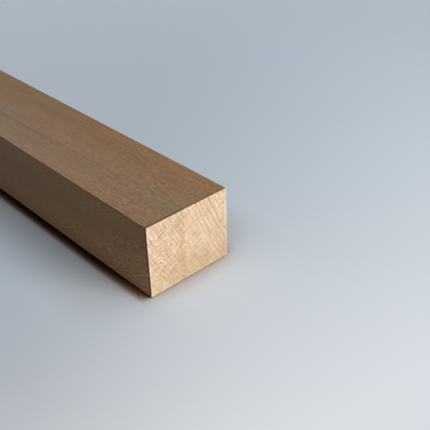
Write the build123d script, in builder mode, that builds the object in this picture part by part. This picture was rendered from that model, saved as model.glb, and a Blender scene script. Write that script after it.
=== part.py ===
from build123d import *
import os

# Hardwood batten of square-edged section, planed on its four long faces and sawn square at both ends.
# Frame: +X along the grain, +Y across the wide face, +Z up. Origin: centre of the underside.

# Sizes, in millimetres
length = 1000
width = 50
thickness = 40
arris_radius = 0.5  # long corners, as the planer leaves them after one wipe with fine paper
end_break = 0.2  # fuzz taken off round the saw cuts

# Batten: one planed section run out along the grain, its sawn ends just broken all round
with BuildPart() as batten:
    with BuildSketch(Plane.YZ.offset(-length / 2)) as section:
        with Locations((0, thickness / 2)):
            RectangleRounded(width, thickness, arris_radius)
    extrude(amount=length)
    sawn_ends = batten.faces().filter_by(Axis.X)
    chamfer(sawn_ends.edges(), length=end_break)
batten.part.label = "batten"

os.makedirs("parts", exist_ok=True)
export_step(batten.part, "parts/batten.step")
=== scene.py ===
import math

import bpy
import numpy as np
from mathutils import Euler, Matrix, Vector, noise


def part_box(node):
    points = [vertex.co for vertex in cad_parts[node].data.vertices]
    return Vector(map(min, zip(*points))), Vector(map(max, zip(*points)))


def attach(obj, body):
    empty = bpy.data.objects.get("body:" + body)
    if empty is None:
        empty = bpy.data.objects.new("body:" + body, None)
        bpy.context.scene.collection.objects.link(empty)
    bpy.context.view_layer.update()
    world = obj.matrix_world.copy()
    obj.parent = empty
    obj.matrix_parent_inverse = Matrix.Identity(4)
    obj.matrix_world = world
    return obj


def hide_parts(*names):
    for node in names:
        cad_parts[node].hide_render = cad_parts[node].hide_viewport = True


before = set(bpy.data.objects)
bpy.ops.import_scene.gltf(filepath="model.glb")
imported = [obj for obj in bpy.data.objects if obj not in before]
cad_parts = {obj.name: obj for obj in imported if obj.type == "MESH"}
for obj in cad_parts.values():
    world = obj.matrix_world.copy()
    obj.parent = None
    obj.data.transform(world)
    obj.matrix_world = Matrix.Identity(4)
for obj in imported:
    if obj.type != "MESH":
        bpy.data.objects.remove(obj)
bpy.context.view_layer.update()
mm = 0.001

# A planed beech batten on a pale studio floor. Every size below is in millimetres unless it says otherwise.

# what the batten is cut from: where the heart of the log lay, seen from the near end, and how it grew
log = {
    "pithAcross": 276.0,        # to the right of the batten's middle
    "pithUp": 152.0,            # above the floor
    "heartAway": 300.0,         # from the heart to the batten, which sets how far apart its rays are
    "slopeAcross": 0.010,       # how far the grain runs off the batten's line, mm in each mm
    "slopeUp": -0.006,
    "yearWidth": 2.63,
    "yearEdge": 304.4,          # one year ends this far from the heart
    "goodYears": 21.0,          # wide and narrow years come round after this much wood
    "goodShare": 0.162,         # by this much of a year
    "wander": 0.5,              # how far a ring strays from a true circle, either way
    "raySpacing": 2.9,
}

# left of the seam the near end shows wood that grew round a side shoot: its rings run steeper and closer
sideShoot = {
    "pithAcross": 115.6,
    "pithUp": 97.3,
    "heartAway": 150.0,
    "yearWidth": 2.2,
    "yearEdge": 151.0,
    "raySpacing": 2.15,
}

# where the tone of the wood changes: a line on the top that drifts over, and an upright edge on the near end
growthSeam = {
    "atEnd": -2.4,              # across, at the near saw cut
    "drift": 0.043,             # to the left, mm in each mm back along the batten
    "waver": 1.6,               # either way
    "wedgeEdge": 304.4,         # a paler wedge starts this far from the heart
}

battenShape = {
    "arrisRadius": 0.5,         # long corners, off the planer
    "arrisUneven": 0.3,         # share of that radius
    "unevenRun": 70.0,          # how long one sharper or blunter stretch is
    "sawnBreak": 0.2,           # round the saw cuts
    "sectionStep": 0.66,        # between points across the faces
    "lengthStep": 6.0,          # between points along the grain
    "evenFrom": 12.0,           # where those even steps start, in from a saw cut
    "planerWave": 0.03,         # the faces are never quite flat
    "waveRun": 48.0,
    "sawRelief": 0.02,          # depth of the marks that the saw leaves
    "sawPitch": 2.6,
    "sawSweep": 160.0,          # radius of the blade
}


def smooth(low, high, value):
    t = np.clip((value - low) / (high - low), 0, 1)
    return t * t * (3 - 2 * t)


def gridLines(size, edge, step):
    # points across one side: four close ones round each edge, then even steps
    inner = np.linspace(edge, size - edge, max(2, round((size - 2 * edge) / step) + 1))
    rim = edge * np.array([0, 0.3, 0.6, 0.8])
    return np.concatenate([rim, inner, size - rim[::-1]])


def endLines(size, evenFrom, step):
    # along the grain: close together near the saw cuts, then even steps
    near = np.array([0, 0.07, 0.14, 0.2, 0.5, 1, 2, 3.5, 5.5, 8])
    inner = np.linspace(evenFrom, size - evenFrom, round((size - 2 * evenFrom) / step) + 1)
    return np.concatenate([near, inner, size - near[::-1]])


def slowNoise(points, scale, seed):
    offset = Vector((seed * 13.7, seed * 5.1, seed * 9.3))
    return np.array([noise.noise(Vector(p) / scale + offset) for p in points])


def battenSurface(low, high, shape):
    # a closed box of quads, six gridded sides that share their border points
    size = (high - low) / mm
    lines = [
        endLines(size[0], shape["evenFrom"], shape["lengthStep"]),
        gridLines(size[1], shape["arrisRadius"], shape["sectionStep"]),
        gridLines(size[2], shape["arrisRadius"], shape["sectionStep"]),
    ]
    last = [len(line) - 1 for line in lines]
    index, points, quads, sides = {}, [], [], []

    def pointAt(i, j, k):
        key = (i, j, k)
        if key not in index:
            index[key] = len(points)
            points.append((lines[0][i], lines[1][j], lines[2][k]))
        return index[key]

    for axis in range(3):
        first, second = [a for a in range(3) if a != axis]
        for at in (0, last[axis]):
            for i in range(last[first]):
                for j in range(last[second]):
                    quad = []
                    for di, dj in ((0, 0), (1, 0), (1, 1), (0, 1)):
                        cell = [0, 0, 0]
                        cell[axis], cell[first], cell[second] = at, i + di, j + dj
                        quad.append(pointAt(*cell))
                    outward = (at > 0) == (axis != 1)
                    quads.append(quad if outward else quad[::-1])
                    sides.append(axis * 2 + (at > 0))
    return np.array(points), quads, np.array(sides), size


def easeEdges(points, size, shape):
    # rolls the sharp box over at its edges: long corners by the arris radius, saw cuts by less
    line = np.c_[points[:, 0], np.zeros((len(points), 2))]
    corner = points[:, 1:] > size[1:] / 2
    vary = np.zeros(len(points))
    for seed, (right, upper) in enumerate([(0, 0), (0, 1), (1, 0), (1, 1)], start=3):
        here = (corner[:, 0] == right) & (corner[:, 1] == upper)
        vary[here] = slowNoise(line[here], shape["unevenRun"], seed)
    arris = shape["arrisRadius"] * (1 - shape["arrisUneven"] * (0.5 + 0.5 * vary))
    radius = np.stack([np.full(len(points), shape["sawnBreak"]), arris, arris], 1)
    inner = np.clip(points, radius, size - radius)
    off = (points - inner) / radius
    reach = np.maximum(np.linalg.norm(off, axis=1, keepdims=True), 1e-9)
    return np.where(reach > 1e-6, inner + radius * off / reach, points)


def workMarks(points, size, shape):
    # planer and saw leave their faces a few hundredths of a millimetre from flat
    middle = size / 2
    inward = np.sign(middle - points)
    wave = 0.5 + 0.5 * slowNoise(points, shape["waveRun"], 1)
    atEnd = smooth(0.35, 0.05, np.minimum(points[:, 0], size[0] - points[:, 0]))   # 1 on a saw cut
    for axis in (1, 2):
        gap = np.minimum(points[:, axis], size[axis] - points[:, axis])
        points[:, axis] += inward[:, axis] * shape["planerWave"] * wave * smooth(0.4, 0.0, gap) * (1 - atEnd)
    sweep = np.hypot(points[:, 1] - middle[1], points[:, 2] + shape["sawSweep"])
    marks = 0.5 + 0.5 * np.sin(2 * np.pi * sweep / shape["sawPitch"] + 2.0 * wave)
    rim = np.minimum(np.minimum(points[:, 1], size[1] - points[:, 1]),
                     np.minimum(points[:, 2], size[2] - points[:, 2]))
    points[:, 0] += inward[:, 0] * shape["sawRelief"] * marks * atEnd * smooth(0.4, 1.2, rim)
    return points


# places of the six sides on the map that a baked copy of the finish uses, in shares of the map
mapPlaces = {
    "gap": 0.004,
    "endHeight": 0.2,
}


def layOut(mesh, points, quads, sides, size):
    # four long bands the whole width of the map, and the two saw cuts side by side below them
    gap, endHeight = mapPlaces["gap"], mapPlaces["endHeight"]
    across = {2: 2, 3: 2, 4: 1, 5: 1}   # which axis runs up each long band
    total = sum(size[axis] for axis in across.values())
    room = 1 - endHeight - 6 * gap
    places, bottom = {}, endHeight + 2 * gap
    for side, axis in across.items():
        height = room * size[axis] / total
        places[side] = (gap, bottom, 1 - 2 * gap, height, 0, axis)
        bottom += height + gap
    for side in (0, 1):
        places[side] = (gap + side * 0.5, gap, 0.5 - 2 * gap, endHeight - gap, 1, 2)
    layer = mesh.uv_layers.new(name="OFBake")
    corners = np.array(quads).ravel()
    side = np.repeat(sides, 4)
    spot = points[corners] / size
    spots = np.zeros((len(corners), 2))
    for number, (left, low, wide, high, along, up) in places.items():
        here = side == number
        spots[here] = np.c_[left + wide * spot[here, along], low + high * spot[here, up]]
    layer.uv.foreach_set("vector", spots.astype(np.float32).ravel())


def makeBatten():
    low, high = (np.array(corner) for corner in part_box("batten"))
    points, quads, sides, size = battenSurface(low, high, battenShape)
    flat = points.copy()
    points = workMarks(easeEdges(points, size, battenShape), size, battenShape)
    mesh = bpy.data.meshes.new("battenSurface")
    mesh.from_pydata((low + points * mm).tolist(), [], quads)
    mesh.polygons.foreach_set("material_index", (sides < 2).astype(np.int32))
    mesh.polygons.foreach_set("use_smooth", np.ones(len(quads), bool))
    layOut(mesh, flat, quads, sides, size)
    mesh.update()
    batten = bpy.data.objects.new("planedBatten", mesh)
    bpy.context.scene.collection.objects.link(batten)
    print("batten:", len(points), "points,", len(quads) * 2, "triangles")
    return batten


# node helpers: a socket or a plain number may go into any input
def addNode(tree, kind, label="", **settings):
    node = tree.nodes.new(kind)
    node.label = label
    for name, value in settings.items():
        setattr(node, name, value)
    return node


def feed(tree, socket, value):
    if isinstance(value, bpy.types.NodeSocket):
        tree.links.new(value, socket)
    elif value is not None:
        socket.default_value = value


def maths(tree, operation, *values, clamp=False, label=""):
    node = addNode(tree, "ShaderNodeMath", label, operation=operation, use_clamp=clamp)
    for socket, value in zip(node.inputs, values):
        feed(tree, socket, value)
    return node.outputs[0]


def product(tree, first, *others):
    for other in others:
        first = maths(tree, "MULTIPLY", first, other)
    return first


def strongest(tree, first, *others):
    for other in others:
        first = maths(tree, "MAXIMUM", first, other)
    return first


def vectors(tree, operation, *values, label=""):
    node = addNode(tree, "ShaderNodeVectorMath", label, operation=operation)
    for socket, value in zip(node.inputs, values):
        feed(tree, socket, value)
    return node.outputs["Value" if operation in ("LENGTH", "DISTANCE") else "Vector"]


def split(tree, vector):
    node = addNode(tree, "ShaderNodeSeparateXYZ")
    feed(tree, node.inputs[0], vector)
    return node.outputs


def join(tree, *parts):
    node = addNode(tree, "ShaderNodeCombineXYZ")
    for socket, part in zip(node.inputs, parts):
        feed(tree, socket, part)
    return node.outputs[0]


def ramp(tree, value, low, high, start=0.0, end=1.0, kind="SMOOTHSTEP", label=""):
    node = addNode(tree, "ShaderNodeMapRange", label, interpolation_type=kind)
    for name, setting in (("Value", value), ("From Min", low), ("From Max", high),
                          ("To Min", start), ("To Max", end)):
        feed(tree, node.inputs[name], setting)
    return node.outputs["Result"]


def between(tree, mask, off, on):
    # one setting where a mask is 0, the other where it is 1
    return ramp(tree, mask, 0.0, 1.0, off, on)


patternStart = (3170.0, 590.0, 230.0)   # from the middle, so that no two patterns line up there


def grainNoise(tree, place, spread, detail=2.0, roughness=0.5, label=""):
    # spread is the size of one blob, in millimetres, along the grain, across and up
    node = addNode(tree, "ShaderNodeTexNoise", label, noise_dimensions="3D")
    moved = vectors(tree, "ADD", place, patternStart)
    feed(tree, node.inputs["Vector"], vectors(tree, "DIVIDE", moved, spread))
    for name, value in (("Scale", 1.0), ("Detail", detail), ("Roughness", roughness)):
        node.inputs[name].default_value = value
    return node.outputs["Fac"]


def colourMix(tree, amount, first, second, blend="MIX", label=""):
    node = addNode(tree, "ShaderNodeMix", label, data_type="RGBA", blend_type=blend)
    feed(tree, node.inputs["Factor"], amount)
    feed(tree, node.inputs["A"], first)
    feed(tree, node.inputs["B"], second)
    return node.outputs["Result"]


def numberMix(tree, amount, first, second):
    node = addNode(tree, "ShaderNodeMix", data_type="FLOAT")
    for name, value in (("Factor", amount), ("A", first), ("B", second)):
        feed(tree, node.inputs[name], value)
    return node.outputs["Result"]


def swing(tree, value, amount, middle=0.5):
    # turns a 0 to 1 pattern into a brightness about 1
    return maths(tree, "MULTIPLY_ADD", maths(tree, "SUBTRACT", value, middle), amount, 1.0)


def brownTone(tree, tone, green, blue):
    # wood darkens towards brown: green and blue fall faster than red
    return join(tree, tone, maths(tree, "POWER", tone, green), maths(tree, "POWER", tone, blue))


def startGroup(name, inputs, outputs):
    group = bpy.data.node_groups.new(name, "ShaderNodeTree")
    for label, kind, value in inputs:
        socket = group.interface.new_socket(label, in_out="INPUT", socket_type="NodeSocket" + kind)
        if value is not None:
            socket.default_value = value
    for label, kind in outputs:
        group.interface.new_socket(label, in_out="OUTPUT", socket_type="NodeSocket" + kind)
    return group, addNode(group, "NodeGroupInput").outputs, addNode(group, "NodeGroupOutput")


def giveOut(group, result, **values):
    for name, value in values.items():
        feed(group, result.inputs[name.replace("_", " ")], value)
    return group


def growthRingsGroup():
    # years of growth round a heart that lies outside the batten
    group, given, result = startGroup(
        "growthRings",
        [("Place", "Vector", None), ("End", "Float", 500.0), ("Pith Across", "Float", 200.0),
         ("Pith Up", "Float", 100.0), ("Heart Away", "Float", 300.0), ("Year Width", "Float", 3.0),
         ("Year Edge", "Float", 300.0), ("Good Years", "Float", 20.0), ("Good Share", "Float", 0.1),
         ("Wander", "Float", 1.0), ("Slope Across", "Float", 0.0), ("Slope Up", "Float", 0.0),
         ("Ray Spacing", "Float", 3.0)],
        [("Radial", "Float"), ("Around", "Float"), ("Late Wood", "Float"), ("Year Line", "Float"),
         ("Year Tone", "Float"), ("Ray Line", "Float"), ("Ring Hatch", "Float"), ("Ray Hatch", "Float")])
    place = given["Place"]
    along, across, up = split(group, place)
    back = maths(group, "SUBTRACT", along, given["End"])
    drift = grainNoise(group, place, (240.0, 60.0, 60.0), detail=1.5, label="slow drift of the grain")
    drift = maths(group, "MULTIPLY", maths(group, "SUBTRACT", drift, 0.5), given["Wander"])
    ripple = grainNoise(group, place, (55.0, 8.0, 8.0), detail=1.0, label="small waver")
    ripple = maths(group, "MULTIPLY", maths(group, "SUBTRACT", ripple, 0.5), 0.8)
    offAcross = maths(group, "MULTIPLY_ADD", back, given["Slope Across"], across)
    offAcross = maths(group, "SUBTRACT", offAcross, given["Pith Across"])
    offUp = maths(group, "MULTIPLY_ADD", back, given["Slope Up"], up)
    offUp = maths(group, "SUBTRACT", offUp, given["Pith Up"])
    distance = vectors(group, "LENGTH", join(group, offAcross, offUp, 0.0))
    radial = maths(group, "ADD", distance, maths(group, "MULTIPLY_ADD", drift, 2.0, ripple))
    turn = maths(group, "ARCTAN2", offUp, offAcross)
    around = maths(group, "MULTIPLY", turn, given["Heart Away"], label="arc length at the batten")
    past = maths(group, "SUBTRACT", radial, given["Year Edge"])
    pace = maths(group, "DIVIDE", maths(group, "MULTIPLY", past, 2 * math.pi), given["Good Years"])
    pace = maths(group, "SINE", pace, label="wide and narrow years")
    years = maths(group, "DIVIDE", past, given["Year Width"])
    years = maths(group, "SUBTRACT", years, maths(group, "MULTIPLY", pace, given["Good Share"]))
    within = maths(group, "FRACT", years)
    tone = addNode(group, "ShaderNodeTexWhiteNoise", "each year's own tone", noise_dimensions="1D")
    feed(group, tone.inputs["W"], maths(group, "FLOOR", years))
    late = maths(group, "MULTIPLY", ramp(group, within, 0.25, 0.92), ramp(group, within, 0.96, 1.0, 1.0, 0.0))
    line = ramp(group, maths(group, "ABSOLUTE", maths(group, "SUBTRACT", within, 0.95)), 0.11, 0.02)
    waver = grainNoise(group, place, (90.0, 30.0, 30.0), detail=1.0, label="ray lines waver")
    fans = maths(group, "DIVIDE", around, given["Ray Spacing"])
    fans = maths(group, "ADD", fans, maths(group, "MULTIPLY", waver, 2.0))
    rayTone = addNode(group, "ShaderNodeTexWhiteNoise", "each ray line's own tone", noise_dimensions="1D")
    feed(group, rayTone.inputs["W"], maths(group, "FLOOR", fans))
    middle = maths(group, "ABSOLUTE", maths(group, "SUBTRACT", maths(group, "FRACT", fans), 0.5))
    rayLine = maths(group, "MULTIPLY", ramp(group, middle, 0.1, 0.02),
                    between(group, rayTone.outputs["Value"], 0.3, 1.0))
    polar = join(group, radial, around, along)
    ringHatch = grainNoise(group, polar, (0.48, 9.0, 40.0), detail=1.0, label="fine lines along the years")
    rayHatch = grainNoise(group, polar, (7.0, 0.48, 4.0), detail=1.0, label="fine lines along the rays")
    return giveOut(group, result, Radial=radial, Around=around, Late_Wood=late, Year_Line=line,
                   Year_Tone=tone.outputs["Value"], Ray_Line=rayLine, Ring_Hatch=ringHatch, Ray_Hatch=rayHatch)


def woodRaysGroup():
    # rays stand as thin upright lenses from heart to bark: lines on a saw cut, flecks and dashes on the faces
    group, given, result = startGroup(
        "woodRays",
        [("Along", "Float", 0.0), ("Around", "Float", 0.0), ("Radial", "Float", 0.0),
         ("Spacing", "Vector", (2.4, 1.0, 10.0)), ("Half Size", "Vector", (1.0, 0.1, 5.0))],
        [("Ray", "Float")])
    spaced = vectors(group, "DIVIDE", join(group, given["Along"], given["Around"], given["Radial"]), given["Spacing"])
    cells = addNode(group, "ShaderNodeTexVoronoi", "one ray in each cell", voronoi_dimensions="3D")
    feed(group, cells.inputs["Vector"], spaced)
    cells.inputs["Scale"].default_value = 1.0
    off = vectors(group, "MULTIPLY", vectors(group, "SUBTRACT", spaced, cells.outputs["Position"]), given["Spacing"])
    reach = vectors(group, "LENGTH", vectors(group, "DIVIDE", off, given["Half Size"]))
    tint = addNode(group, "ShaderNodeSeparateColor")
    feed(group, tint.inputs[0], cells.outputs["Color"])
    shade = ramp(group, tint.outputs[0], 0.0, 1.0, 0.25, 1.0, kind="LINEAR", label="some rays are darker")
    return giveOut(group, result, Ray=maths(group, "MULTIPLY", ramp(group, reach, 1.0, 0.45), shade))


def growthSeamGroup():
    # the upright edge where paler wood meets warmer wood
    group, given, result = startGroup(
        "growthSeam",
        [("Place", "Vector", None), ("Radial", "Float", 0.0), ("End", "Float", 500.0), ("At End", "Float", 0.0),
         ("Drift", "Float", 0.0), ("Waver", "Float", 0.0), ("Wedge Edge", "Float", 300.0)],
        [("Side", "Float"), ("Sharp", "Float"), ("Blend", "Float"), ("Step", "Float"), ("Line", "Float"),
         ("Wedge", "Float")])
    place = given["Place"]
    along, across, up = split(group, place)
    back = maths(group, "SUBTRACT", given["End"], along)
    lean = maths(group, "SUBTRACT", grainNoise(group, place, (150.0, 60.0, 60.0), detail=1.0), 0.5)
    lean = product(group, lean, 2.0, given["Waver"], ramp(group, back, 0.0, 120.0))
    seamAt = maths(group, "SUBTRACT", given["At End"], maths(group, "MULTIPLY", back, given["Drift"]))
    off = maths(group, "SUBTRACT", across, maths(group, "ADD", seamAt, lean))
    away = maths(group, "ABSOLUTE", off)
    side = ramp(group, off, -0.5, 0.5)
    upright = maths(group, "MULTIPLY", ramp(group, up, 38.0, 33.0), ramp(group, up, 6.0, 14.0),
                    label="where it shows")
    step = product(group, maths(group, "MULTIPLY_ADD", side, 2.0, -1.0), ramp(group, away, 6.5, 0.0), upright)
    broken = ramp(group, grainNoise(group, place, (36.0, 20.0, 20.0), detail=2.0), 0.36, 0.6, 0.15, 1.0)
    line = maths(group, "MULTIPLY", ramp(group, away, 0.8, 0.15), broken)
    beyond = ramp(group, maths(group, "SUBTRACT", given["Radial"], given["Wedge Edge"]), -0.2, 0.5)
    wedge = product(group, side, beyond, ramp(group, up, 32.0, 29.0), ramp(group, up, 10.0, 19.0))
    return giveOut(group, result, Side=ramp(group, off, -4.0, 4.0), Sharp=side,
                   Blend=ramp(group, off, -4.0, 26.0), Step=step, Line=line, Wedge=wedge)


def fibreStreaksGroup():
    # long fibres and pores, from broad bands of tone down to hair lines
    group, given, result = startGroup(
        "fibreStreaks", [("Place", "Vector", None)],
        [("Broad", "Float"), ("Streak", "Float"), ("Mottle", "Float"), ("Speckle", "Float"), ("Hair", "Float"),
         ("Dash", "Float"), ("Figure", "Float"), ("Cluster", "Float"), ("Blush", "Float")])
    place = given["Place"]
    along, across, up = split(group, place)
    broad = grainNoise(group, place, (210.0, 13.0, 13.0), detail=2.0, label="bands of tone")
    streak = grainNoise(group, place, (30.0, 1.7, 1.7), detail=3.0, roughness=0.6, label="streaks")
    speckle = grainNoise(group, place, (3.4, 0.75, 0.75), detail=2.0, roughness=0.6, label="short dashes")
    hair = grainNoise(group, place, (5.0, 0.28, 0.28), detail=2.0, roughness=0.6, label="pores and fibres")
    mottle = grainNoise(group, place, (13.0, 4.0, 4.0), detail=2.0, label="mottling")
    blush = grainNoise(group, place, (75.0, 14.0, 14.0), detail=1.0, label="pinker and greener patches")
    figure = grainNoise(group, place, (62.0, 5.0, 5.0), detail=2.0, label="where the rings show")
    slant = join(group, along, across, maths(group, "MULTIPLY_ADD", along, -0.5, up))
    cluster = grainNoise(group, slant, (44.0, 9.0, 9.0), detail=2.0, label="where the rays show")
    tilted = join(group, along, across, maths(group, "MULTIPLY_ADD", along, -0.3, up))
    dash = grainNoise(group, tilted, (3.0, 0.6, 0.6), detail=1.5, roughness=0.6, label="ray ends on the narrow faces")
    return giveOut(group, result, Broad=broad, Streak=streak, Mottle=mottle, Speckle=speckle, Hair=hair, Dash=dash,
                   Figure=ramp(group, figure, 0.38, 0.68), Cluster=ramp(group, cluster, 0.36, 0.62),
                   Blush=ramp(group, blush, 0.36, 0.64))


def sectionEdgesGroup():
    # how near a point is to the outline of the section, and to the saw cuts
    group, given, result = startGroup(
        "sectionEdges",
        [("Place", "Vector", None), ("Half Length", "Float", 500.0), ("Half Width", "Float", 25.0),
         ("Thickness", "Float", 40.0), ("Reach", "Float", 1.0), ("Saw Reach", "Float", 1.0),
         ("Dry Reach", "Float", 80.0)],
        [("Rim", "Float"), ("Arris", "Float"), ("Saw Edge", "Float"), ("Dry End", "Float")])
    along, across, up = split(group, given["Place"])
    side = maths(group, "SUBTRACT", given["Half Width"], maths(group, "ABSOLUTE", across))
    level = maths(group, "MINIMUM", maths(group, "SUBTRACT", given["Thickness"], up), up)
    cut = maths(group, "SUBTRACT", given["Half Length"], maths(group, "ABSOLUTE", along))
    rim = ramp(group, side, given["Reach"], 0.0)
    arris = ramp(group, maths(group, "MAXIMUM", side, level), given["Reach"], 0.0)
    return giveOut(group, result, Rim=rim, Arris=arris, Saw_Edge=ramp(group, cut, given["Saw Reach"], 0.3),
                   Dry_End=ramp(group, cut, given["Dry Reach"], 0.0))


def placeGroup(tree, group, **values):
    node = addNode(tree, "ShaderNodeGroup", group.name, node_tree=group)
    for name, value in values.items():
        feed(tree, node.inputs[name.replace("_", " ")], value)
    return node.outputs


def srgb(red, green, blue):
    # a colour written in the usual 0 to 255 numbers
    parts = [c / 255 for c in (red, green, blue)]
    return (*[c / 12.92 if c <= 0.04045 else ((c + 0.055) / 1.055) ** 2.4 for c in parts], 1.0)


def startMaterial(name):
    material = bpy.data.materials.new(name)
    material.use_nodes = True
    tree = material.node_tree
    tree.nodes.clear()
    shader = addNode(tree, "ShaderNodeBsdfPrincipled")
    output = addNode(tree, "ShaderNodeOutputMaterial")
    tree.links.new(shader.outputs[0], output.inputs["Surface"])
    return material, tree, shader


def growth(tree, groups, place, size, heart):
    return placeGroup(
        tree, groups["rings"], Place=place, End=size[0] / 2, Pith_Across=heart["pithAcross"],
        Pith_Up=heart["pithUp"], Heart_Away=heart["heartAway"], Year_Width=heart["yearWidth"],
        Year_Edge=heart["yearEdge"], Ray_Spacing=heart["raySpacing"], Good_Years=log["goodYears"],
        Good_Share=log["goodShare"], Wander=log["wander"], Slope_Across=log["slopeAcross"],
        Slope_Up=log["slopeUp"])


def woodBasis(tree, groups, look, size, shoot=None):
    # the parts that every cut through this log shares
    spot = addNode(tree, "ShaderNodeTexCoord").outputs
    place = vectors(tree, "SCALE", spot["Object"], label="in millimetres")
    place.node.inputs["Scale"].default_value = 1 / mm
    along = split(tree, place)[0]
    rings = growth(tree, groups, place, size, log)
    seam = placeGroup(
        tree, groups["seam"], Place=place, Radial=rings["Radial"], End=size[0] / 2, At_End=growthSeam["atEnd"],
        Drift=growthSeam["drift"], Waver=growthSeam["waver"], Wedge_Edge=growthSeam["wedgeEdge"])
    if shoot:
        other = growth(tree, groups, place, size, shoot)
        rings = {name: numberMix(tree, seam["Sharp"], other[name], rings[name]) for name in rings.keys()}
    edges = placeGroup(
        tree, groups["edges"], Place=place, Half_Length=size[0] / 2, Half_Width=size[1] / 2,
        Thickness=size[2], **look["reaches"])
    rays = [placeGroup(tree, groups["rays"], Along=along, Around=rings["Around"], Radial=rings["Radial"],
                       Spacing=kind["spacing"], Half_Size=kind["half"])["Ray"]
            for kind in (look["rays"], look["fineRays"])]
    streaks = placeGroup(tree, groups["streaks"], Place=place)
    return place, spot["Normal"], rings, seam, edges, rays, streaks


def finishSurface(tree, shader, height, look):
    # bare wood: little shine, and a relief too fine for the mesh
    shader.inputs["Specular IOR Level"].default_value = look["specular"]
    bump = addNode(tree, "ShaderNodeBump")
    bump.inputs["Distance"].default_value = look["reliefDepth"]
    bump.inputs["Strength"].default_value = look["relief"]
    feed(tree, bump.inputs["Height"], height)
    feed(tree, shader.inputs["Normal"], bump.outputs[0])


planedLook = {
    "left": srgb(198, 161, 126),             # the paler wood left of the seam
    "right": srgb(199, 154, 107),            # the warmer wood right of it
    "late": srgb(180, 144, 107),
    "ray": srgb(131, 95, 61),
    "greyer": (0.84, 0.88, 0.97, 1.0),       # away from the saw cuts: painted shade and reflection
    "pinker": (1.03, 0.99, 1.0, 1.0),
    "greener": (0.97, 1.01, 0.99, 1.0),
    "sawEdge": (0.60, 0.42, 0.28, 1.0),
    "arris": (1.06, 1.03, 0.97, 1.0),
    "sideArris": (0.90, 0.82, 0.70, 1.0),
    "sideTint": (0.98, 0.955, 0.915, 1.0),
    "sideBounceFoot": 1.215,                       # the narrow faces are paler at the foot than at the top: painted light thrown up by the floor
    "sideBounceTop": 0.876,
    "sideQuiet": 0.4,                        # how much of the streaks they show
    "rays": {"spacing": (3.6, 1.5, 7.0), "half": (1.5, 0.16, 2.6)},
    "fineRays": {"spacing": (2.2, 0.8, 3.0), "half": (1.0, 0.09, 1.0)},
    "rayMarks": (0.36, 0.42),                # how dark the large and the fine rays are
    "lateWood": 0.4,                         # how strongly each of the others shows
    "yearLines": 0.26,
    "seamLine": 0.3,
    "bands": 0.34,
    "streaks": 0.24,
    "mottling": 0.14,
    "speckle": 0.36,
    "hairLines": 0.42,
    "dashes": 0.6,
    "reaches": {"Reach": 1.6, "Saw_Reach": 2.1, "Dry_Reach": 190.0},   # in from the edges and the saw cuts
    "roughness": 0.5,
    "specular": 0.2,
    "reliefDepth": 0.00008,                  # metres
    "relief": 0.4,
}

sawnLook = {
    "left": srgb(242, 212, 179),
    "right": srgb(241, 212, 180),
    "late": srgb(220, 184, 150),
    "ray": srgb(152, 90, 44),
    # paler in a thin band round the edges of the saw cut: a painted highlight
    "rim": (1.13, 1.18, 1.25, 1.0),
    "upperLeft": (1.02, 1.08, 1.14, 1.0),
    "leftOfSeam": (0.92, 0.87, 0.81, 1.0),
    "rightOfSeam": (1.07, 1.07, 1.07, 1.0),
    "speck": srgb(120, 78, 48),
    "rays": {"spacing": (3.0, 1.55, 8.0), "half": (2.4, 0.17, 4.2)},
    "fineRays": {"spacing": (1.8, 0.8, 3.0), "half": (1.3, 0.11, 1.4)},
    "rayMarks": (1.0, 0.9),                  # how dark the large and the fine rays are
    "rayLines": 0.9,
    "darkest": 0.7,                          # no mark is darker than this
    "bands": 0.24,
    "mottling": 0.1,
    "speckle": 0.45,
    "crowd": (-11.5, 32.5, 9.0),             # across, up, reach: where the rays crowd together
    "crowdMore": 0.6,
    "crowdFlat": 1.6,                        # that place is this many times as wide as it is tall
    "specks": [(-18.0, 17.2, 0.62), (23.5, 9.3, 0.45), (-21.5, 31.5, 0.4)],   # across, up, half width
    "reaches": {"Reach": 1.9},
    "roughness": 0.75,
    "specular": 0.15,
    "reliefDepth": 0.0001,                   # metres
    "relief": 0.4,
}


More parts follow.
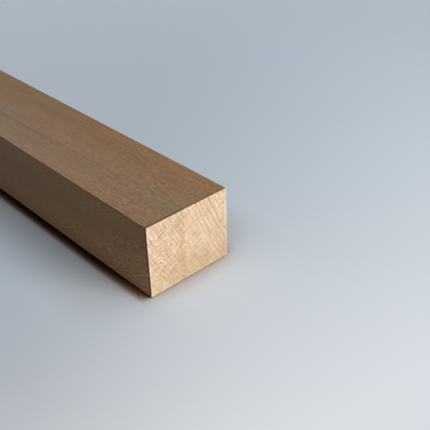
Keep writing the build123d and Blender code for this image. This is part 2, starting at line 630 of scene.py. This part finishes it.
def planedBeech(groups, size):
    look = planedLook
    material, tree, shader = startMaterial("planedBeech")
    place, normal, rings, seam, edges, rays, streaks = woodBasis(tree, groups, look, size)
    turned = split(tree, normal)[1]
    facing = maths(tree, "ABSOLUTE", turned, label="1 on the narrow faces")
    shows = product(tree, ramp(tree, facing, 0.3, 0.9, 1.0, 0.3), between(tree, streaks["Figure"], 0.1, 1.0))
    side = ramp(tree, facing, 0.3, 0.9)
    cluster = ramp(tree, streaks["Cluster"], between(tree, side, 0.0, 0.4), 1.0, 0.12, 1.0)
    dry = maths(tree, "POWER", edges["Dry End"], 2.0)
    dry = maths(tree, "MULTIPLY_ADD", dry, 1.5, 0.8, label="coarser near the saw cuts")
    warmer = maths(tree, "MULTIPLY", seam["Blend"], between(tree, side, 1.0, 0.4))
    colour = colourMix(tree, warmer, look["left"], look["right"], label="either side of the seam")
    late = product(tree, rings["Late Wood"], shows, look["lateWood"])
    colour = colourMix(tree, late, colour, look["late"], label="early to late wood")
    line = product(tree, rings["Year Line"], rings["Year Tone"], shows, look["yearLines"])
    seamLine = maths(tree, "MULTIPLY", seam["Line"], between(tree, side, look["seamLine"], 0.0))
    marks = strongest(tree, line, seamLine, *[product(tree, ray, cluster, dry, strength)
                                              for ray, strength in zip(rays, look["rayMarks"])])
    colour = colourMix(tree, marks, colour, look["ray"], label="rays and lines")
    speckle, hair, dashes = [maths(tree, "SUBTRACT", streaks[name], 0.5) for name in ("Speckle", "Hair", "Dash")]
    fine = maths(tree, "ADD", maths(tree, "MULTIPLY", speckle, look["speckle"]),
                 maths(tree, "MULTIPLY", hair, look["hairLines"]))
    fine = maths(tree, "MULTIPLY", fine, between(tree, side, 1.0, 0.5))
    fine = maths(tree, "ADD", fine, product(tree, dashes, cluster, side, look["dashes"]))
    quiet = between(tree, side, 1.0, look["sideQuiet"])
    tone = product(tree, swing(tree, streaks["Broad"], maths(tree, "MULTIPLY", quiet, look["bands"])),
                   swing(tree, streaks["Streak"], maths(tree, "MULTIPLY", quiet, look["streaks"])),
                   swing(tree, streaks["Mottle"], maths(tree, "MULTIPLY", quiet, look["mottling"])),
                   maths(tree, "MULTIPLY_ADD", fine, dry, 1.0))
    brown = brownTone(tree, tone, numberMix(tree, side, 1.2, 1.45), numberMix(tree, side, 1.4, 1.9))
    colour = colourMix(tree, 1.0, colour, brown, blend="MULTIPLY", label="streaks")
    hue = colourMix(tree, streaks["Blush"], look["greener"], look["pinker"])
    colour = colourMix(tree, between(tree, side, 1.0, 0.5), colour, hue, blend="MULTIPLY", label="patches")
    burnt = maths(tree, "MULTIPLY", edges["Saw Edge"], between(tree, seam["Side"], 1.0, 0.5))
    colour = colourMix(tree, burnt, colour, look["sawEdge"], blend="MULTIPLY", label="where the saw ran out")
    # painted shade and reflection: darker and greyer away from the saw cuts, where the light falls off along the
    # batten and the pale room shows in the faces
    greyer = colourMix(tree, 1.0, colour, look["greyer"], blend="MULTIPLY")
    colour = colourMix(tree, edges["Dry End"], greyer, colour, label="greyer away from the saw cuts")
    up = split(tree, place)[2]
    colour = colourMix(tree, side, colour, look["sideTint"], blend="MULTIPLY", label="narrow faces")
    # painted light and shade: the narrow faces are paler at the foot and darker at the top, standing in for light
    # from the floor, mostly on the face away from the window
    paintedBounce = ramp(tree, up, 0.0, size[2] * 0.75, look["sideBounceFoot"], look["sideBounceTop"])
    leftFace = ramp(tree, turned, -0.5, 0.5, 1.0, 0.3, label="less on the side that the window lights")
    level = numberMix(tree, maths(tree, "MULTIPLY", side, leftFace), 1.0, paintedBounce)
    colour = colourMix(tree, 1.0, colour, brownTone(tree, level, 1.14, 1.35), blend="MULTIPLY", label="foot to top")
    # painted highlight: paler along the arrises; darker along the upper arris of the narrow faces
    upper = maths(tree, "MULTIPLY", side, ramp(tree, up, size[2] * 0.3, size[2] * 0.7))
    corners = colourMix(tree, upper, look["arris"], look["sideArris"])
    colour = colourMix(tree, edges["Arris"], colour, corners, blend="MULTIPLY", label="painted arris highlight")
    feed(tree, shader.inputs["Base Color"], colour)
    shine = maths(tree, "MULTIPLY_ADD", streaks["Hair"], 0.16, look["roughness"] - 0.08)
    feed(tree, shader.inputs["Roughness"], shine)
    height = maths(tree, "SUBTRACT", maths(tree, "ADD", streaks["Hair"], streaks["Speckle"]), marks)
    finishSurface(tree, shader, height, look)
    return material


def darkSpecks(tree, place, specks):
    # a few dark pores on the near saw cut
    along, across, up = split(tree, place)
    flat = join(tree, across, up, 0.0)
    found = 0.0
    for left, high, half in specks:
        gap = vectors(tree, "DISTANCE", flat, (left, high, 0.0))
        found = maths(tree, "MAXIMUM", found, ramp(tree, gap, half, half * 0.3))
    return maths(tree, "MULTIPLY", found, maths(tree, "GREATER_THAN", along, 0.0))


def sawnBeech(groups, size):
    look = sawnLook
    material, tree, shader = startMaterial("sawnBeech")
    place, _, rings, seam, edges, rays, streaks = woodBasis(tree, groups, look, size, sideShoot)
    _, across, up = split(tree, place)
    broken = grainNoise(tree, place, (4.0, 1.7, 1.7), label="lines break up")
    broken = ramp(tree, broken, 0.38, 0.62, 0.25, 1.0)
    patch = grainNoise(tree, place, (20.0, 9.0, 9.0), label="rays stronger in patches")
    patch = ramp(tree, patch, 0.34, 0.6, 0.55, 1.0)
    net = product(tree, between(tree, seam["Side"], 1.0, 0.45), patch, ramp(tree, up, 4.0, 34.0, 0.66, 1.35))
    crowdAcross, crowdUp, crowdReach = look["crowd"]
    flat = join(tree, across, maths(tree, "MULTIPLY", up, look["crowdFlat"]), 0.0)
    crowd = vectors(tree, "DISTANCE", flat, (crowdAcross, crowdUp * look["crowdFlat"], 0.0))
    crowd = ramp(tree, crowd, crowdReach, 2.0)
    net = maths(tree, "MULTIPLY", net, maths(tree, "MULTIPLY_ADD", crowd, look["crowdMore"], 1.0))
    pieces = grainNoise(tree, place, (9.0, 4.5, 4.5), detail=1.0, label="ray lines break up")
    pieces = ramp(tree, pieces, 0.4, 0.6, 0.1, 1.0)
    colour = colourMix(tree, seam["Side"], look["left"], look["right"], label="either side of the seam")
    late = product(tree, rings["Late Wood"], between(tree, seam["Side"], 0.3, 0.7),
                   ramp(tree, up, 4.0, 30.0, 0.35, 0.85), between(tree, rings["Year Tone"], 0.3, 1.0))
    colour = colourMix(tree, late, colour, look["late"], label="early to late wood")
    strength = maths(tree, "MULTIPLY_ADD", rings["Year Tone"], 0.7, 0.3)
    line = product(tree, rings["Year Line"], strength, broken, ramp(tree, up, 0.0, 34.0, 0.42, 0.9),
                   between(tree, seam["Side"], 1.3, 0.95))
    large, small = look["rayMarks"]
    marks = strongest(tree, line, product(tree, rings["Ray Line"], net, pieces, look["rayLines"]),
                      product(tree, rays[0], net, broken, large), product(tree, rays[1], net, small))
    marks = maths(tree, "MINIMUM", marks, look["darkest"])
    colour = colourMix(tree, marks, colour, look["ray"], label="rays and year lines")
    rightOf = maths(tree, "MAXIMUM", seam["Step"], seam["Wedge"])
    colour = colourMix(tree, rightOf, colour, look["rightOfSeam"], blend="MULTIPLY", label="pale beside the seam")
    leftOf = maths(tree, "MULTIPLY", seam["Step"], ramp(tree, up, 32.0, 22.0, -0.35, -1.0), clamp=True)
    colour = colourMix(tree, leftOf, colour, look["leftOfSeam"], blend="MULTIPLY", label="warm beside the seam")
    ringHatch = between(tree, seam["Side"], ramp(tree, up, 4.0, 34.0, 0.2, 0.46), 0.45)
    rayHatch = between(tree, seam["Side"], 0.34, 0.18)
    # darker towards the foot, most in the middle and to the right: partly painted shade, partly the wood's own tone
    foot = ramp(tree, up, 0.0, 28.0, ramp(tree, across, -22.0, -6.0, 0.86, 0.79), 1.0)
    colour = colourMix(tree, 1.0, colour, brownTone(tree, foot, 1.15, 1.4), blend="MULTIPLY", label="darker foot")
    tone = product(tree, maths(tree, "MULTIPLY_ADD", crowd, -0.05, 1.0), swing(tree, streaks["Broad"], look["bands"]),
                   swing(tree, streaks["Mottle"], look["mottling"]), swing(tree, streaks["Speckle"], look["speckle"]),
                   swing(tree, rings["Ring Hatch"], ringHatch), swing(tree, rings["Ray Hatch"], rayHatch))
    colour = colourMix(tree, 1.0, colour, brownTone(tree, tone, 1.5, 2.1), blend="MULTIPLY", label="speckle")
    upperLeft = maths(tree, "MULTIPLY", ramp(tree, up, 22.0, 38.0), ramp(tree, across, 0.0, -14.0))
    colour = colourMix(tree, upperLeft, colour, look["upperLeft"], blend="MULTIPLY", label="greyer corner")
    # painted highlight: a thin paler band round the edges of the saw cut, where they catch the light
    colour = colourMix(tree, edges["Rim"], colour, look["rim"], blend="MULTIPLY", label="painted highlight round the saw cut")
    colour = colourMix(tree, darkSpecks(tree, place, look["specks"]), colour, look["speck"], label="pores")
    feed(tree, shader.inputs["Base Color"], colour)
    shader.inputs["Roughness"].default_value = look["roughness"]
    finishSurface(tree, shader, maths(tree, "SUBTRACT", streaks["Hair"], marks), look)
    return material


# places and reaches on the floor are in metres
studio = {
    "keyAzimuth": 20.0,                      # degrees from the batten's line towards its right side
    "keyElevation": 18.4,
    "keySpread": 38.0,                       # how wide the soft light looks, in degrees
    "keyStrength": 3.02,
    "fillAzimuth": -100.0,
    "fillElevation": 20.0,
    "fillSpread": 70.0,
    "fillStrength": 0.14,
    "fillColour": (1.0, 0.94, 0.87),
    "roomLight": 0.08,
    "floorSize": 30.0,
    "floorColour": (0.61, 0.65, 0.68),
    "floorBounce": (0.44, 0.405, 0.36, 1.0),  # what the floor throws back onto the batten
    "wideShade": (1.12, 1.32, 1.53),         # powers for red, green and blue: warmer close to the wood
    "wideReach": 0.04,
    "wideFacing": (0.0, 45.0),               # azimuth and elevation that the floor is taken to face for it
    "closeShade": (0.42, 0.56, 0.70),
    "closeReach": 0.01,
    "contactShade": (9.0, 13.0, 16.0),
    "contactReach": 0.0065,
    "contactDark": (0.012, 0.002, 0.001),
    "liftZone": (0.45, 0.5),                 # the contact shade thins between these places near the ends
    "endLift": 0.42,                         # down to this share
    "glowBehind": (0.14, 0.183, 0.23),       # light added to what the camera sees of the floor
    "glowRise": (0.455, 0.431, 0.404),       # and how much it grows towards the window
    "glowMost": 0.66,                        # share of that growth where it stops
    "glowFrom": 0.393,                       # along the batten's line, where it starts to grow
    "glowTo": 0.75,
    "glowSkew": 0.77,                        # how far that last place moves for each metre across
    "glowFan": (0.62, 0.78, 0.885),          # how its red, green and blue spread to the right
    "glowSides": (-0.1, 0.3),                # left and right, where that spread stops
    "glowMiddle": (0.5, 0.06, 0.0),
    "glowShape": (1.0, 1.6, 1.0),            # it fades sooner across than along
    "glowFade": (0.16, 0.85),                # from its middle, where it gives way to the open floor
    "glowFar": (0.195, 0.241, 0.292, 1.0),
    "backdrop": srgb(176, 187, 197),
}


def towards(azimuth, elevation):
    turn, rise = math.radians(azimuth), math.radians(elevation)
    return Vector((math.cos(turn) * math.cos(rise), math.sin(turn) * math.cos(rise), math.sin(rise)))


def softLight(name, azimuth, elevation, spread, strength, colour=(1.0, 1.0, 1.0)):
    lamp = bpy.data.lights.new(name, "SUN")
    lamp.energy = strength
    lamp.color = colour
    lamp.angle = math.radians(spread)
    light = bpy.data.objects.new(name, lamp)
    light.rotation_mode = "QUATERNION"
    light.rotation_quaternion = towards(azimuth, elevation).to_track_quat("Z", "Y")
    bpy.context.scene.collection.objects.link(light)


def contactShade(tree, distance, powers, normal=None, lift=1.0):
    # darker where something stands close by
    node = addNode(tree, "ShaderNodeAmbientOcclusion", "contact shade", samples=12)
    node.inputs["Distance"].default_value = distance
    if normal is not None:
        feed(tree, node.inputs["Normal"], join(tree, *normal))
    return join(tree, *[maths(tree, "POWER", node.outputs["AO"], maths(tree, "MULTIPLY", lift, power))
                        for power in powers])


def seenPale(tree):
    # what the camera sees, and what shows in a reflection or through a pane
    path = addNode(tree, "ShaderNodeLightPath").outputs
    return strongest(tree, path["Is Camera Ray"], path["Is Glossy Ray"], path["Is Transmission Ray"])


def floorShade(tree, along):
    # three shades on top of each other: a wide soft one, a close one, and a dark warm line along the foot
    lift = ramp(tree, maths(tree, "ABSOLUTE", along), *studio["liftZone"], 1.0, studio["endLift"])
    wide = contactShade(tree, studio["wideReach"], studio["wideShade"], towards(*studio["wideFacing"]))
    window = towards(studio["keyAzimuth"], studio["keyElevation"])
    line = contactShade(tree, studio["contactReach"], studio["contactShade"], window, lift)
    close = contactShade(tree, studio["closeReach"], studio["closeShade"])
    return vectors(tree, "MULTIPLY", vectors(tree, "MULTIPLY", wide, line), close)


def windowGlow(tree, place, along, across):
    # the light that lies on the floor in front of the near end
    left, right = studio["glowSides"]
    fan = maths(tree, "MINIMUM", maths(tree, "MAXIMUM", across, left), right)
    end = maths(tree, "MULTIPLY_ADD", fan, studio["glowSkew"], studio["glowTo"])
    forward = []
    for spread in studio["glowFan"]:
        start = maths(tree, "MULTIPLY_ADD", fan, -spread, studio["glowFrom"])
        forward.append(maths(tree, "MINIMUM", studio["glowMost"], ramp(tree, along, start, end)))
    glow = vectors(tree, "MULTIPLY_ADD", join(tree, *forward), studio["glowRise"], studio["glowBehind"],
                   label="lighter towards the window")
    away = vectors(tree, "SUBTRACT", place, studio["glowMiddle"])
    away = vectors(tree, "LENGTH", vectors(tree, "MULTIPLY", away, studio["glowShape"]))
    return colourMix(tree, ramp(tree, away, *studio["glowFade"]), glow, studio["glowFar"])


def paleFloor():
    material = bpy.data.materials.new("paleFloor")
    material.use_nodes = True
    tree = material.node_tree
    tree.nodes.clear()
    place = addNode(tree, "ShaderNodeTexCoord").outputs["Object"]
    along, across, _ = split(tree, place)
    shade = floorShade(tree, along)
    glow = vectors(tree, "MULTIPLY", shade, windowGlow(tree, place, along, across))
    seen = addNode(tree, "ShaderNodeBsdfDiffuse")
    colour = vectors(tree, "MULTIPLY_ADD", shade, studio["floorColour"], studio["contactDark"])
    feed(tree, seen.inputs["Color"], colour)
    added = addNode(tree, "ShaderNodeEmission")
    feed(tree, added.inputs["Color"], glow)
    both = addNode(tree, "ShaderNodeAddShader")
    bounce = addNode(tree, "ShaderNodeBsdfDiffuse")
    bounce.inputs["Color"].default_value = studio["floorBounce"]
    mixer = addNode(tree, "ShaderNodeMixShader")
    output = addNode(tree, "ShaderNodeOutputMaterial")
    tree.links.new(seen.outputs[0], both.inputs[0])
    tree.links.new(added.outputs[0], both.inputs[1])
    feed(tree, mixer.inputs[0], seenPale(tree))
    tree.links.new(bounce.outputs[0], mixer.inputs[1])
    tree.links.new(both.outputs[0], mixer.inputs[2])
    tree.links.new(mixer.outputs[0], output.inputs["Surface"])
    return material


def makeFloor():
    mesh = bpy.data.meshes.new("studioFloor")
    half = studio["floorSize"] / 2
    corners = [(-half, -half, 0), (half, -half, 0), (half, half, 0), (-half, half, 0)]
    mesh.from_pydata(corners, [], [(0, 1, 2, 3)])
    floor = bpy.data.objects.new("studioFloor", mesh)
    bpy.context.scene.collection.objects.link(floor)
    mesh.materials.append(paleFloor())


def makeRoom():
    # a dim room lights the batten, and the camera sees a pale one
    world = bpy.data.worlds.new("paleRoom")
    bpy.context.scene.world = world
    world.use_nodes = True
    tree = world.node_tree
    tree.nodes.clear()
    room = addNode(tree, "ShaderNodeBackground")
    room.inputs["Strength"].default_value = studio["roomLight"]
    room.inputs["Color"].default_value = (1, 1, 1, 1)
    shown = addNode(tree, "ShaderNodeBackground")
    shown.inputs["Color"].default_value = studio["backdrop"]
    mixer = addNode(tree, "ShaderNodeMixShader")
    output = addNode(tree, "ShaderNodeOutputWorld")
    feed(tree, mixer.inputs[0], seenPale(tree))
    tree.links.new(room.outputs[0], mixer.inputs[1])
    tree.links.new(shown.outputs[0], mixer.inputs[2])
    tree.links.new(mixer.outputs[0], output.inputs["Surface"])


def makeStudio():
    makeFloor()
    softLight("windowLight", studio["keyAzimuth"], studio["keyElevation"], studio["keySpread"],
              studio["keyStrength"])
    softLight("wallLight", studio["fillAzimuth"], studio["fillElevation"], studio["fillSpread"],
              studio["fillStrength"], studio["fillColour"])
    makeRoom()
    print("studio: floor, window light and room")


photoView = {
    "stand": (0.7197, -0.1836, 0.2219),      # metres
    "aim": (0.4912, 0.0252, 0.0200),
    "lens": 60.9,
    "sensorWidth": 36,
    "tilt": 1.48,                            # degrees that the camera was held off level
}


def makeCamera():
    data = bpy.data.cameras.new("photoCamera")
    data.lens = photoView["lens"]
    data.sensor_width = photoView["sensorWidth"]
    data.clip_start = 0.01
    camera = bpy.data.objects.new("photoCamera", data)
    stand, aim = Vector(photoView["stand"]), Vector(photoView["aim"])
    level = (aim - stand).to_track_quat("-Z", "Y")
    camera.rotation_mode = "QUATERNION"
    camera.rotation_quaternion = level @ Euler((0, 0, math.radians(-photoView["tilt"]))).to_quaternion()
    camera.location = stand
    bpy.context.scene.collection.objects.link(camera)
    bpy.context.scene.camera = camera
    print("camera: placed as the photo was taken")


scene = bpy.context.scene
scene.view_settings.view_transform = "Standard"
makeCamera()
makeStudio()
groups = {
    "rings": growthRingsGroup(),
    "rays": woodRaysGroup(),
    "seam": growthSeamGroup(),
    "streaks": fibreStreaksGroup(),
    "edges": sectionEdgesGroup(),
}
batten = makeBatten()
low, high = (np.array(corner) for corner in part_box("batten"))
battenSize = [float(s) for s in (high - low) / mm]
batten.data.materials.append(planedBeech(groups, battenSize))
batten.data.materials.append(sawnBeech(groups, battenSize))
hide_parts("batten")
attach(batten, "root")
print("materials: planed faces and saw cuts")
